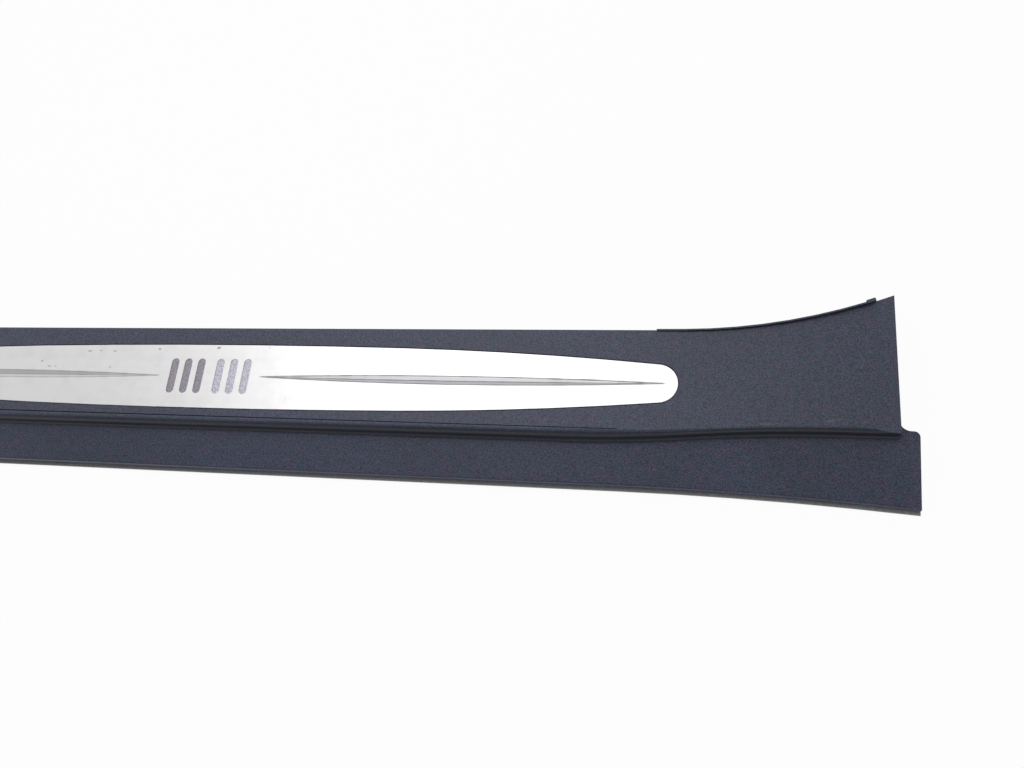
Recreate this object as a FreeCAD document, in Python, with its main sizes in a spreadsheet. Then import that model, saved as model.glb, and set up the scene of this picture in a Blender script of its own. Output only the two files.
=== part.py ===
import FreeCAD, Part

import math
import os

import Sketcher
from FreeCAD import Placement, Rotation, Vector

# Door sill trim of a two-seat car, lying face up as it lies on the door sill.
# X runs along the sill, +Y points into the car, +Z points up through the step face.
# The origin lies under the centre of the bright plate, on the plane of the lower rims.
# Heights are taken from that plane. All lengths are in millimetres, angles in degrees.

SIZES = [
    ("sill_left", 520.0, "plate centre to the left end"),
    ("deck_right", 539.8, "plate centre to the right end of the deck"),
    ("band_right", 553.5, "plate centre to the right end of the outer band"),
    ("deck_inner", 43.2, "centre line to the inner edge"),
    ("inner_taper", 1.9, "how much further the inner edge stands off at the left end"),
    ("band_outer", 74.5, "centre line to the face of the outer skirt"),
    ("deck_height", 26.0, "rims to the step face"),
    ("wall", 2.5, "wall of the moulding"),
    ("inner_flare_start", 392.0, "where the inner edge starts to flare"),
    ("inner_flare", 28.0, "how far the inner edge has flared at the right end"),
    ("outer_flare_start", 345.0, "where the outer edge starts to flare"),
    ("outer_flare", 7.5, "how far the outer edge has flared at the right end"),
    ("notch_radius", 8.0, "hollow corner between deck end and band end"),
    ("shoulder_inwards", 4.4, "shoulder of the band end, inwards of the riser"),
    ("band_corner", 4.0, "round corner of the band end"),
    ("step_line", 42.2, "centre line to the riser"),
    ("step_bend_start", 300.0, "where the riser starts to swing inwards"),
    ("step_bend_length", 200.0, "length of the swing"),
    ("step_bend_shift", 9.0, "how far the riser swings inwards"),
    ("riser_drop", 9.5, "height of the riser at the gauge point"),
    ("riser_gauge_x", -200.0, "where the height of the riser is taken"),
    ("band_slope", 10.2, "slope of the outer band towards its edge"),
    ("band_fall", 0.15, "slope of the outer band towards the right end"),
    ("bead_radius", 5.5, "rounding over the riser along the plate"),
    ("bead_radius_end", 2.2, "rounding over the riser at the right end"),
    ("foot_radius", 3.5, "rounding at the foot of the riser"),
    ("rim_round", 1.5, "rounding of the upper outer edges"),
    ("deck_turn", 17.0, "length of the turned-down strip at the deck's end"),
    ("band_turn", 7.0, "length of the turned-down strip at the band's end"),
    ("turn_angle", 5.0, "how far the end strips turn down"),
    ("hem_width", 2.6, "bead at the foot of the outer skirt"),
    ("hem_height", 2.2, "height of that bead"),
    ("line_offset", 34.0, "centre line to the left end of the fine line beside the riser"),
    ("line_lean", 0.13, "how far the fine line turns towards the riser"),
    ("line_width", 1.4, "width of the fine line"),
    ("line_depth", 0.9, "depth of the fine line"),
    ("line_end", 345.0, "where the fine line fades out"),
    ("lip_start", 371.0, "where the raised lip begins"),
    ("lip_end", 526.5, "where the raised lip ends"),
    ("lip_thickness", 1.2, "thickness of the lip"),
    ("lip_low", 1.3, "height of the lip at its beginning"),
    ("lip_high", 3.2, "height of the lip at its end"),
    ("lip_foot", 6.0, "how far the lip is rooted in the rim"),
    ("tab_length", 6.3, "small tab at the end of the lip"),
    ("tab_reach", 1.3, "how far the tab stands out"),
    ("tab_depth", 3.0, "height of the tab"),
    ("plate_half_length", 388.4, "centre to the tip of the bright plate"),
    ("plate_half_width", 28.4, "centre line to the edge of the bright plate"),
    ("plate_crown_radius", 8200.0, "long edge of the plate at its middle"),
    ("plate_shoulder_radius", 2900.0, "long edge of the plate near its ends"),
    ("plate_shoulder_x", 171.0, "where the long edge changes its curve"),
    ("plate_thickness", 1.2, "sheet of the plate"),
    ("plate_gap", 0.5, "open line round the plate"),
    ("plate_bevel", 0.35, "broken upper edge of the plate"),
    ("tape_thickness", 0.8, "adhesive tape under the plate"),
    ("tray_margin", 3.0, "thick border of the recess below the deck"),
    ("spear_inner", 45.6, "centre to the inner tip of a coined groove"),
    ("spear_outer", 380.1, "centre to the outer tip of a coined groove"),
    ("spear_upper", 3.1, "bow of the groove's inner side"),
    ("spear_lower", 3.8, "bow of the groove's outer side"),
    ("spear_crease", 0.8, "bow of the crease"),
    ("spear_depth", 0.75, "depth of the crease"),
    ("bar_width", 7.0, "tread bar at the middle of the plate"),
    ("bar_length", 31.0, "length of a tread bar"),
    ("bar_pitch", 12.6, "spacing of the tread bars"),
    ("bar_group", 21.6, "plate centre to the middle bar of each group"),
    ("bar_depth", 0.3, "depth of a tread bar"),
    ("tape_middle_end", 95.0, "plate centre to the ends of the middle tape"),
    ("tape_middle_edge", 21.0, "centre line to the edges of the middle tape"),
    ("tape_gap", 23.0, "open space between two tapes"),
    ("tape_stop", 55.4, "end of a side tape to the tip of the plate"),
    ("tape_side_edge", 14.0, "centre line to the edges of a side tape"),
    ("clip_pitch", 150.0, "spacing of the fastening clips"),
    ("flare_clip_x", 503.0, "clip in the flared end, along the sill"),
    ("flare_clip_y", 34.0, "clip in the flared end, across the sill"),
    ("tower_long", 26.0, "clip house along the sill"),
    ("tower_wide", 22.0, "clip house across the sill"),
    ("tower_wall", 2.0, "wall of a clip house"),
    ("tower_foot", 12.0, "rims to the seat of a clip house"),
    ("seat_thickness", 2.2, "seat plate of a clip house"),
    ("neck_gap", 0.3, "clearance round the clip's neck"),
    ("rib_thickness", 1.8, "stiffening ribs"),
    ("rib_foot", 12.0, "rims to the lower edge of the ribs"),
    ("rib_from_clip", 37.5, "cross ribs either side of each clip"),
    ("long_rib_y", 24.0, "centre line to the long ribs"),
    ("pin_radius", 4.0, "locating pins"),
    ("pin_foot", 2.5, "rims to the tips of the locating pins"),
    ("pin_tip_chamfer", 1.0, "lead on the tips of the locating pins"),
    ("pad_long", 36.0, "foam pads along the sill"),
    ("pad_wide", 20.0, "foam pads across the sill"),
    ("pad_thickness", 10.0, "foam pads"),
    ("head_half", 6.6, "centre to the sides of a clip's square head"),
    ("head_corner", 2.4, "cut corners of the head"),
    ("head_thickness", 1.8, "head of a clip"),
    ("neck_half", 3.4, "centre to the sides of a clip's square neck"),
    ("collar_radius", 8.4, "collar of a clip"),
    ("collar_thickness", 1.4, "collar of a clip"),
    ("barb_half", 4.5, "centre to the widest place of the prongs"),
    ("barb_height", 5.2, "rims to the widest place of the prongs"),
    ("barb_back", 7.9, "rims to the upper end of the barbs"),
    ("prong_tip", 1.9, "centre to the outer side of a prong's tip"),
    ("prong_foot", 1.4, "rims to the tips of the prongs"),
    ("prong_gap", 0.75, "centre to the inner side of a prong"),
    ("seal_radius", 9.6, "foam washer below a clip's collar"),
    ("seal_thickness", 2.0, "foam washer below a clip's collar"),
    ("reach", 1600.0, "length of the cutting blocks, past the whole sill"),
]

doc = FreeCAD.newDocument("door_sill_trim")
sheet = doc.addObject("Spreadsheet::Sheet", "Sizes")
for row, (alias, amount, meaning) in enumerate(SIZES, 1):
    sheet.set(f"A{row}", meaning)
    sheet.set(f"B{row}", str(amount))
    sheet.setAlias(f"B{row}", alias)
doc.recompute()
SIZE = {alias: float(sheet.get(alias)) for alias, _, _ in SIZES}


def number(total):
    """Value of a sum of sizes, such as "deck_inner - wall"."""
    value = 0.0
    sign = 1.0
    for word in total.split():
        if word in ("+", "-"):
            sign = 1.0 if word == "+" else -1.0
        else:
            value += sign * (SIZE[word] if word in SIZE else float(word))
            sign = 1.0
    return value


def formula(total):
    """The same sum, written for the spreadsheet."""
    return " ".join("Sizes." + word if word in SIZE else word for word in total.split())


def bind(thing, **totals):
    """Ties properties of an object to sums of sizes."""
    for prop, total in totals.items():
        thing.setExpression(prop, formula(total))
    return thing


def stand(thing, x="0", y="0", z="0"):
    """Ties an object's place to sums of sizes."""
    for axis, total in (("x", x), ("y", y), ("z", z)):
        thing.setExpression(".Placement.Base." + axis, formula(total))
    return thing


def block(name, long, wide, tall, x, y, z):
    """Part box with its low corner at x, y, z."""
    item = doc.addObject("Part::Box", name)
    bind(item, Length=long, Width=wide, Height=tall)
    return stand(item, x, y, z)


def extrude(name, outline, tall, z="0"):
    """Solid that rises from a plan outline."""
    item = doc.addObject("Part::Extrusion", name)
    item.Base = outline
    item.DirMode = "Custom"
    item.Dir = Vector(0, 0, 1)
    item.Solid = True
    bind(item, LengthFwd=tall)
    return stand(item, z=z)


def offset(name, outline, distance):
    """Plan outline at an even distance from another one."""
    item = doc.addObject("Part::Offset2D", name)
    item.Source = outline
    item.Mode = "Pipe"
    item.Join = "Arc"
    return bind(item, Value=distance)


def cut(name, base, tool):
    item = doc.addObject("Part::Cut", name)
    item.Base = base
    item.Tool = tool
    return item


def common(name, *items):
    item = doc.addObject("Part::MultiCommon", name)
    item.Shapes = list(items)
    return item


def fuse(name, items):
    item = doc.addObject("Part::MultiFuse", name)
    item.Shapes = list(items)
    return item


def point_of(sketch, place):
    """Sketch element and end that lie at a place."""
    for index in range(sketch.GeometryCount):
        for end in (1, 2):
            if sketch.getPoint(index, end).distanceToPoint(Vector(place[0], place[1], 0)) < 1e-4:
                return index, end
    raise ValueError(f"{sketch.Label} has no corner at {place}")


def draw(sketch, pieces):
    """Fills a sketch with a closed chain of lines and arcs, joined at their ends."""
    for piece in pieces:
        sketch.addGeometry(piece, False)
    ends = [(index, end, sketch.getPoint(index, end)) for index in range(len(pieces)) for end in (1, 2)]
    for number_of, (index, end, place) in enumerate(ends):
        for other, other_end, other_place in ends[number_of + 1:]:
            if other != index and place.distanceToPoint(other_place) < 1e-6:
                sketch.addConstraint(Sketcher.Constraint("Coincident", index, end, other, other_end))
    return sketch


def hold(sketch, place, x=None, y=None):
    """Ties a corner of a sketch to sums of sizes."""
    index, end = point_of(sketch, place)
    for kind, total in (("DistanceX", x), ("DistanceY", y)):
        if total is not None:
            row = sketch.addConstraint(Sketcher.Constraint(kind, -1, 1, index, end, number(total)))
            sketch.setExpression(f"Constraints[{row}]", formula(total))


def plan_sketch(name, pieces):
    return draw(doc.addObject("Sketcher::SketchObject", name), pieces)


def body_sketch(body, name, pieces, plane="XY_Plane"):
    """Sketch on one of the body's own origin planes."""
    sketch = body.newObject("Sketcher::SketchObject", name)
    support = next(item for item in body.Origin.OriginFeatures if item.Role == plane)
    sketch.AttachmentSupport = (support, [""])
    sketch.MapMode = "FlatFace"
    return draw(sketch, pieces)


def line(start, end):
    return Part.LineSegment(Vector(start[0], start[1], 0), Vector(end[0], end[1], 0))


def polygon(corners):
    return [line(start, end) for start, end in zip(corners, corners[1:] + corners[:1])]


def arc(centre, radius, start_angle, end_angle):
    """Arc that runs anticlockwise between two directions, in radians."""
    circle = Part.Circle(Vector(centre[0], centre[1], 0), Vector(0, 0, 1), radius)
    return Part.ArcOfCircle(circle, start_angle, end_angle)


def pad(body, sketch, name, length, reversed_=False):
    item = body.newObject("PartDesign::Pad", name)
    item.Profile = sketch
    item.Reversed = reversed_
    return bind(item, Length=length)


# Plan of the moulding

def flare_radius(length, rise):
    """Radius of an arc that leaves a straight edge and has moved off by rise after length."""
    return (length ** 2 + rise ** 2) / (2 * rise)


def step_arcs(shift):
    """Centre and radius of the two arcs of the riser's swing, moved inwards by shift."""
    length, rise = SIZE["step_bend_length"], SIZE["step_bend_shift"]
    radius = (length ** 2 + rise ** 2) / (4 * rise)
    start, end = SIZE["step_bend_start"], SIZE["step_bend_start"] + length
    low, high = -SIZE["step_line"], rise - SIZE["step_line"]
    turn = math.asin(length / 2 / radius)
    return ((start, low + radius), radius - shift), ((end, high - radius), radius + shift), turn


def step_y(x):
    """Place of the riser across the sill."""
    first, second, _ = step_arcs(0)
    if x <= first[0][0]:
        return -SIZE["step_line"]
    if x <= (first[0][0] + second[0][0]) / 2:
        return first[0][1] - math.sqrt(first[1] ** 2 - (x - first[0][0]) ** 2)
    if x <= second[0][0]:
        return second[0][1] + math.sqrt(second[1] ** 2 - (x - second[0][0]) ** 2)
    return SIZE["step_bend_shift"] - SIZE["step_line"]


def outline_pieces():
    """Plan of the moulding: straight sides, flared right end and notched end."""
    left, deck_end, band_end = -SIZE["sill_left"], SIZE["deck_right"], SIZE["band_right"]
    inner, outer = SIZE["deck_inner"], -SIZE["band_outer"]
    wide = number("deck_inner + inner_taper")
    in_start, out_start = SIZE["inner_flare_start"], SIZE["outer_flare_start"]
    in_length, out_length = deck_end - in_start, band_end - out_start
    in_radius = flare_radius(in_length, SIZE["inner_flare"])
    out_radius = flare_radius(out_length, SIZE["outer_flare"])
    shoulder = number("step_bend_shift - step_line + shoulder_inwards")
    notch, corner = SIZE["notch_radius"], SIZE["band_corner"]
    in_top = (deck_end, inner + SIZE["inner_flare"])
    out_low = (band_end, outer - SIZE["outer_flare"])
    quarter = math.pi / 2
    return [
        line((left, wide), (in_start, inner)),
        arc((in_start, inner + in_radius), in_radius, -quarter, math.asin(in_length / in_radius) - quarter),
        line(in_top, (deck_end, shoulder + notch)),
        arc((deck_end + notch, shoulder + notch), notch, 2 * quarter, 3 * quarter),
        line((deck_end + notch, shoulder), (band_end - corner, shoulder)),
        arc((band_end - corner, shoulder - corner), corner, 0, quarter),
        line((band_end, shoulder - corner), out_low),
        arc((out_start, outer - out_radius), out_radius,
            quarter - math.asin(out_length / out_radius), quarter),
        line((out_start, outer), (left, outer)),
        line((left, outer), (left, wide)),
    ]


def make_outline():
    sketch = plan_sketch("sill_outline", outline_pieces())
    left, inner, outer = -SIZE["sill_left"], SIZE["deck_inner"], -SIZE["band_outer"]
    wide = number("deck_inner + inner_taper")
    hold(sketch, (left, wide), "- sill_left", "deck_inner + inner_taper")
    hold(sketch, (left, outer), "- sill_left", "- band_outer")
    hold(sketch, (SIZE["inner_flare_start"], inner), "inner_flare_start", "deck_inner")
    hold(sketch, (SIZE["outer_flare_start"], outer), "outer_flare_start", "- band_outer")
    hold(sketch, (SIZE["deck_right"], inner + SIZE["inner_flare"]), "deck_right", "deck_inner + inner_flare")
    hold(sketch, (SIZE["band_right"], outer - SIZE["outer_flare"]), "band_right", "- band_outer - outer_flare")
    return sketch


def make_band_region(name, shift):
    """Plan of everything outside the riser, moved inwards by shift and carried past the edges."""
    far = SIZE["reach"]
    first, second, turn = step_arcs(number(shift))
    low = number("- step_line + " + shift)
    high = number("step_bend_shift - step_line + " + shift)
    start, end = first[0][0], second[0][0]
    quarter = math.pi / 2
    sketch = plan_sketch(name, [
        line((-far, low), (start, low)),
        arc(first[0], first[1], -quarter, turn - quarter),
        arc(second[0], second[1], quarter, quarter + turn),
        line((end, high), (far, high)),
        line((far, high), (far, -far)),
        line((far, -far), (-far, -far)),
        line((-far, -far), (-far, low)),
    ])
    hold(sketch, (-far, low), "- reach", "- step_line + " + shift)
    hold(sketch, (start, low), "step_bend_start", "- step_line + " + shift)
    hold(sketch, (end, high), "step_bend_start + step_bend_length", "step_bend_shift - step_line + " + shift)
    return sketch


# Outer band: a plane that slopes to its edge and falls a little to the right

BAND_TURN = Rotation(Vector(0, 1, 0), SIZE["band_fall"]) * Rotation(Vector(1, 0, 0), SIZE["band_slope"])
BAND_GAUGE = Vector(SIZE["riser_gauge_x"], -SIZE["step_line"], number("deck_height - riser_drop"))


def band_z(x, y):
    """Height of the outer band's plane at a place."""
    normal = BAND_TURN.multVec(Vector(0, 0, 1))
    away = Vector(x, y, 0) - Vector(BAND_GAUGE.x, BAND_GAUGE.y, 0)
    return BAND_GAUGE.z - (normal.x * away.x + normal.y * away.y) / normal.z


def space_above_band(name, lower):
    """Block that fills the space over the outer band, lowered by a wall where needed."""
    item = doc.addObject("Part::Box", name)
    bind(item, Length="reach", Width="reach", Height="reach")
    half = SIZE["reach"] / 2
    item.Placement = Placement(BAND_GAUGE, BAND_TURN) * Placement(Vector(-half, -half, -lower), Rotation())
    return item


def band_space(name, shift, lower):
    """Space outside the riser and over the outer band."""
    region = extrude(name + "_plan", make_band_region(name + "_region", shift), "reach")
    return common(name, region, space_above_band(name + "_above", lower))


def shoulder_space(name, start, lower):
    """Space over the outer band beyond the end of the deck."""
    beyond = block(name + "_side", "reach", "reach", "reach", start, "- band_outer", "0")
    return common(name, beyond, space_above_band(name + "_above", lower))


def end_turn_space(name, place, turn):
    """Space over a strip that turns down towards the right end."""
    item = doc.addObject("Part::Box", name)
    bind(item, Length="reach", Width="reach", Height="reach")
    half = SIZE["reach"] / 2
    slope = turn * Rotation(Vector(0, 1, 0), SIZE["turn_angle"])
    item.Placement = Placement(place, slope) * Placement(Vector(0, -half, 0), Rotation())
    return item


def round_edges(name, base, choose):
    """Rounds each edge for which choose gives a pair of radii."""
    doc.recompute()
    item = doc.addObject("Part::Fillet", name)
    item.Base = base
    chosen = []
    for index, edge in enumerate(base.Shape.Edges, 1):
        radii = choose(edge)
        if radii:
            chosen.append((index, radii[0], radii[1]))
    if not chosen:
        raise ValueError(f"{name} finds no edge")
    item.Edges = chosen
    return item


def edge_points(edge):
    """Start, middle and end of an edge."""
    first, last = edge.FirstParameter, edge.LastParameter
    return edge.valueAt(first), edge.valueAt((first + last) / 2), edge.valueAt(last)


def bead_radius(x):
    """The rounding over the riser shrinks along its swing."""
    share = (x - SIZE["step_bend_start"]) / SIZE["step_bend_length"]
    share = min(max(share, 0.0), 1.0)
    return SIZE["bead_radius"] + share * (SIZE["bead_radius_end"] - SIZE["bead_radius"])


def on_riser(points):
    return all(abs(point.y - step_y(point.x)) < 0.01 for point in points)


def bead_edges(edge):
    """Radii for the upper edge of the riser."""
    points = edge_points(edge)
    if on_riser(points) and all(abs(point.z - SIZE["deck_height"]) < 0.01 for point in points):
        return bead_radius(points[0].x), bead_radius(points[2].x)
    return None


def foot_edges(edge):
    """Radii for the foot of the riser."""
    points = edge_points(edge)
    if on_riser(points) and all(abs(point.z - band_z(point.x, point.y)) < 0.01 for point in points):
        return SIZE["foot_radius"], SIZE["foot_radius"]
    return None


def rim_edges(edge):
    """Radii for the long upper edges of the moulding."""
    points = edge_points(edge)
    if edge.Length < 50:
        return None
    on_inner = all(point.y > SIZE["deck_inner"] - 0.01 for point in points)
    on_outer = all(point.y < 0.01 - SIZE["band_outer"] for point in points)
    if on_inner and all(abs(point.z - SIZE["deck_height"]) < 0.01 for point in points):
        return SIZE["rim_round"], SIZE["rim_round"]
    if on_outer and all(abs(point.z - band_z(point.x, point.y)) < 0.01 for point in points):
        return SIZE["rim_round"], SIZE["rim_round"]
    return None


def make_skin(outline):
    """Outer form of the moulding as one solid: deck, riser, sloping band and turned ends."""
    slab = extrude("deck_slab", outline, "deck_height")
    stepped = cut("stepped_slab", slab, band_space("over_band", "0", 0))
    footed = round_edges("rounded_foot", stepped, foot_edges)
    ended = cut("deck_end", footed, shoulder_space("over_shoulder", "deck_right", 0))
    beaded = round_edges("rounded_bead", ended, bead_edges)
    rimmed = round_edges("rounded_rims", beaded, rim_edges)
    deck_crease = Vector(number("deck_right - deck_turn"), 0, SIZE["deck_height"])
    band_x = number("band_right - band_turn")
    band_crease = Vector(band_x, -SIZE["step_line"], band_z(band_x, -SIZE["step_line"]))
    deck_end = end_turn_space("over_deck_end", deck_crease, Rotation())
    band_end = end_turn_space("over_band_end", band_crease, BAND_TURN)
    return cut("turned_ends", rimmed, fuse("over_ends", [deck_end, band_end]))


def make_hem(outline):
    """Small bead that runs along the foot of the outer skirt."""
    wide = extrude("hem_plan", offset("hem_outline", outline, "hem_width"), "hem_height")
    length = "sill_left + band_right"
    strip = block("hem_strip", length, "reach", "reach", "- sill_left", "- reach - band_outer + wall", "0")
    return common("outer_hem", wide, strip)


# Underside

def clip_stations():
    """Places of the clips: an even row along the sill and one in the flared end."""
    count = int((SIZE["sill_left"] - SIZE["tower_long"]) // SIZE["clip_pitch"])
    row = [(index * SIZE["clip_pitch"], 0.0) for index in range(-count, count + 1)]
    return row + [(SIZE["flare_clip_x"], SIZE["flare_clip_y"])]


def between_stations():
    """Middle of each bay between two clips of the row."""
    row = [place for place in clip_stations() if place[1] == 0.0]
    return [(first[0] + second[0]) / 2 for first, second in zip(row, row[1:])]


def pin_places():
    """Locating pins stand in the second bay from each end of the row."""
    bays = between_stations()
    return [bays[1], bays[-2]]


def pad_places():
    """Foam pads hang in the outermost bays and in the two bays beside the middle."""
    bays = between_stations()
    middle = len(bays) // 2
    return [bays[0], bays[middle - 1], bays[middle], bays[-1]]


def local_block(name, place, long, wide, foot):
    """Block about a place in plan that hangs down to a given height."""
    item = doc.addObject("Part::Box", name)
    bind(item, Length=long, Width=wide, Height="reach")
    x = place[0] - number(long) / 2
    y = place[1] - number(wide) / 2
    return stand(item, str(x), str(y), foot)


def make_ribs():
    """Cross ribs beside each clip of the row and two long ribs."""
    ribs = []
    for x, y in clip_stations():
        for side in (-1, 1):
            place = (x + side * SIZE["rib_from_clip"], 0.0)
            if y == 0.0:
                ribs.append(local_block("cross_rib", place, "rib_thickness", "reach", "rib_foot"))
    for side in (-1, 1):
        place = (0.0, side * SIZE["long_rib_y"])
        ribs.append(local_block("long_rib", place, "reach", "rib_thickness", "rib_foot"))
    return ribs


def make_locating_pin(x):
    """Round pin with a chamfered tip."""
    item = doc.addObject("Part::Cylinder", "locating_pin")
    bind(item, Radius="pin_radius", Height="reach")
    stand(item, str(x), "0", "pin_foot + pin_tip_chamfer")
    tip = doc.addObject("Part::Cone", "locating_pin_tip")
    bind(tip, Radius1="pin_radius - pin_tip_chamfer", Radius2="pin_radius", Height="pin_tip_chamfer")
    stand(tip, str(x), "0", "pin_foot")
    return [item, tip]


def make_cavity(outline, tray):
    """Hollow underside, less everything that stands in it."""
    inner = extrude("cavity_plan", offset("cavity_outline", outline, "- wall"), "deck_height - wall")
    hollow = cut("cavity_hollow", inner, fuse("under_outer_skin", [
        band_space("under_band", "wall", SIZE["wall"]),
        shoulder_space("under_shoulder", "deck_right - wall", SIZE["wall"]),
    ]))
    standing = [tray]
    standing += make_ribs()
    for place in clip_stations():
        standing.append(local_block("clip_house", place, "tower_long", "tower_wide", "tower_foot"))
    for x in pin_places():
        standing += make_locating_pin(x)
    for x in pad_places():
        standing.append(local_block("pad_land", (x, 0.0), "pad_long", "pad_wide", "rib_foot"))
    return cut("cavity", hollow, fuse("standing_parts", standing))


def make_clip_room(place):
    """Room of one clip house, open towards the right, with the slot for the clip's neck."""
    x, y = place
    long = number("tower_long - tower_wall")
    wide = number("tower_wide - tower_wall - tower_wall")
    left = x - SIZE["tower_long"] / 2 + SIZE["tower_wall"]
    room = doc.addObject("Part::Box", "clip_room")
    bind(room, Length="tower_long - tower_wall", Width="tower_wide - tower_wall - tower_wall")
    bind(room, Height="deck_height - wall - tower_foot - seat_thickness - plate_thickness - tape_thickness")
    stand(room, str(left), str(y - wide / 2), "tower_foot + seat_thickness")
    slot = doc.addObject("Part::Box", "neck_slot")
    half = number("neck_half + neck_gap")
    bind(slot, Width="neck_half + neck_half + neck_gap + neck_gap", Height="seat_thickness")
    slot.Length = long + left - x + half
    stand(slot, str(x - half), str(y - half), "tower_foot")
    return [room, slot]


# Bright plate and its recess

def plate_pieces(grow):
    """Outline of the plate: long crowned edges and round noses, grown by a clearance."""
    half_width = SIZE["plate_half_width"]
    crown, shoulder = SIZE["plate_crown_radius"], SIZE["plate_shoulder_radius"]
    crown_y = half_width - crown
    turn = math.asin(SIZE["plate_shoulder_x"] / crown)
    shoulder_x = (crown - shoulder) * math.sin(turn)
    shoulder_y = crown_y + (crown - shoulder) * math.cos(turn)
    away = SIZE["plate_half_length"] - shoulder_x
    nose = (shoulder ** 2 - away ** 2 - shoulder_y ** 2) / (2 * (shoulder - away))
    nose_x = SIZE["plate_half_length"] - nose
    lean = math.atan2(-shoulder_y, nose_x - shoulder_x)
    quarter = math.pi / 2
    crown += grow
    shoulder += grow
    nose += grow
    return [
        arc((0, crown_y), crown, quarter - turn, quarter + turn),
        arc((-shoulder_x, shoulder_y), shoulder, quarter + turn, math.pi - lean),
        arc((-nose_x, 0), nose, math.pi - lean, math.pi + lean),
        arc((-shoulder_x, -shoulder_y), shoulder, math.pi + lean, 3 * quarter - turn),
        arc((0, -crown_y), crown, 3 * quarter - turn, 3 * quarter + turn),
        arc((shoulder_x, -shoulder_y), shoulder, 3 * quarter + turn, 4 * quarter - lean),
        arc((nose_x, 0), nose, -lean, lean),
        arc((shoulder_x, shoulder_y), shoulder, lean, quarter - turn),
    ]


def make_recess_and_tray():
    """Recess for plate and tape, and the thickened tray that carries it."""
    gap = SIZE["plate_gap"]
    recess_plan = plan_sketch("recess_outline", plate_pieces(gap))
    recess = extrude("plate_recess", recess_plan, "reach", "deck_height - plate_thickness - tape_thickness")
    tray_plan = plan_sketch("tray_outline", plate_pieces(number("plate_gap + tray_margin")))
    tray = extrude("plate_tray", tray_plan, "reach",
                   "deck_height - plate_thickness - tape_thickness - wall")
    return recess, tray


def make_fine_line():
    """Narrow V-shaped line beside the riser, which fades out where the riser swings inwards."""
    body = doc.addObject("PartDesign::Body", "fine_line_cutter")
    half = SIZE["line_width"] / 2
    profile = body_sketch(body, "fine_line_profile", polygon([
        (-half, 0.0),
        (0.0, -SIZE["line_depth"]),
        (half, 0.0),
    ]), "YZ_Plane")
    cutter = pad(body, profile, "fine_line", "sill_left + line_end")
    doc.recompute()
    length = number("sill_left + line_end")
    dive = math.degrees(math.atan2(SIZE["line_depth"], length))
    body.Placement = Placement(
        Vector(-SIZE["sill_left"], -SIZE["line_offset"], SIZE["deck_height"]),
        Rotation(Vector(0, 0, 1), -SIZE["line_lean"]) * Rotation(Vector(0, 1, 0), -dive / 2),
    )
    return body


def make_lip(outline):
    """Raised lip that follows the flared inner edge, grows to the right and ends in a tab."""
    ring = cut(
        "lip_ring",
        extrude("lip_outside", outline, "reach"),
        extrude("lip_inside", offset("lip_outline", outline, "- lip_thickness"), "reach"),
    )
    body = doc.addObject("PartDesign::Body", "lip_side_view")
    start, end = SIZE["lip_start"], SIZE["lip_end"]
    low = number("deck_height - lip_foot")
    first, last = number("deck_height + lip_low"), number("deck_height + lip_high")
    side = body_sketch(body, "lip_side", polygon([
        (start, low),
        (end, low),
        (end, last),
        (start, first),
    ]), "XZ_Plane")
    hold(side, (start, low), "lip_start", "deck_height - lip_foot")
    hold(side, (end, low), "lip_end", "deck_height - lip_foot")
    hold(side, (end, last), "lip_end", "deck_height + lip_high")
    hold(side, (start, first), "lip_start", "deck_height + lip_low")
    pad(body, side, "lip_slab", "deck_inner + inner_flare + tab_reach", True)
    return common("raised_lip", ring, body)


def make_tab():
    """Small tab at the high end of the lip, square to the flared edge."""
    length = number("deck_right - inner_flare_start")
    radius = flare_radius(length, SIZE["inner_flare"])
    turn = math.asin(number("lip_end - inner_flare_start") / radius)
    item = doc.addObject("Part::Box", "lip_tab")
    bind(item, Length="tab_length", Width="tab_reach + lip_thickness", Height="tab_depth")
    edge = Vector(SIZE["lip_end"], SIZE["deck_inner"] + radius * (1 - math.cos(turn)),
                  number("deck_height + lip_high - tab_depth"))
    item.Placement = Placement(edge, Rotation(Vector(0, 0, 1), math.degrees(turn))) * Placement(
        Vector(-SIZE["tab_length"], -SIZE["lip_thickness"], 0), Rotation())
    return item


def make_carrier():
    """The moulded carrier."""
    outline = make_outline()
    recess, tray = make_recess_and_tray()
    skin = fuse("skin_with_hem", [make_skin(outline), make_hem(outline)])
    shell = cut("shell", skin, make_cavity(outline, tray))
    rooms = []
    for place in clip_stations():
        rooms += make_clip_room(place)
    opened = cut("opened_shell", shell, fuse("openings", [recess, make_fine_line()] + rooms))
    carrier = fuse("carrier_solid", [opened, make_lip(outline), make_tab()])
    carrier.Refine = True
    return carrier


def make_spear(side):
    """V-shaped cutter between two bowed edges and a crease, pointed at both ends."""
    top = number("deck_height")
    inner, outer = side * SIZE["spear_inner"], side * SIZE["spear_outer"]
    middle = (inner + outer) / 2
    tips = Vector(inner, 0, top), Vector(outer, 0, top)
    upper = Part.Arc(tips[0], Vector(middle, SIZE["spear_upper"], top), tips[1]).toShape()
    lower = Part.Arc(tips[0], Vector(middle, -SIZE["spear_lower"], top), tips[1]).toShape()
    crease_low = Vector(middle, -SIZE["spear_crease"], top - SIZE["spear_depth"])
    crease = Part.Arc(tips[0], crease_low, tips[1]).toShape()
    faces = [
        Part.Face(Part.Wire([upper, lower])),
        Part.makeRuledSurface(upper, crease),
        Part.makeRuledSurface(lower, crease),
    ]
    shell = Part.makeShell(faces)
    shell.sewShape()
    solid = Part.makeSolid(shell)
    if solid.Volume < 0:
        solid.reverse()
    item = doc.addObject("Part::Feature", "spear_cutter")
    item.Shape = solid
    return item


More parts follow.
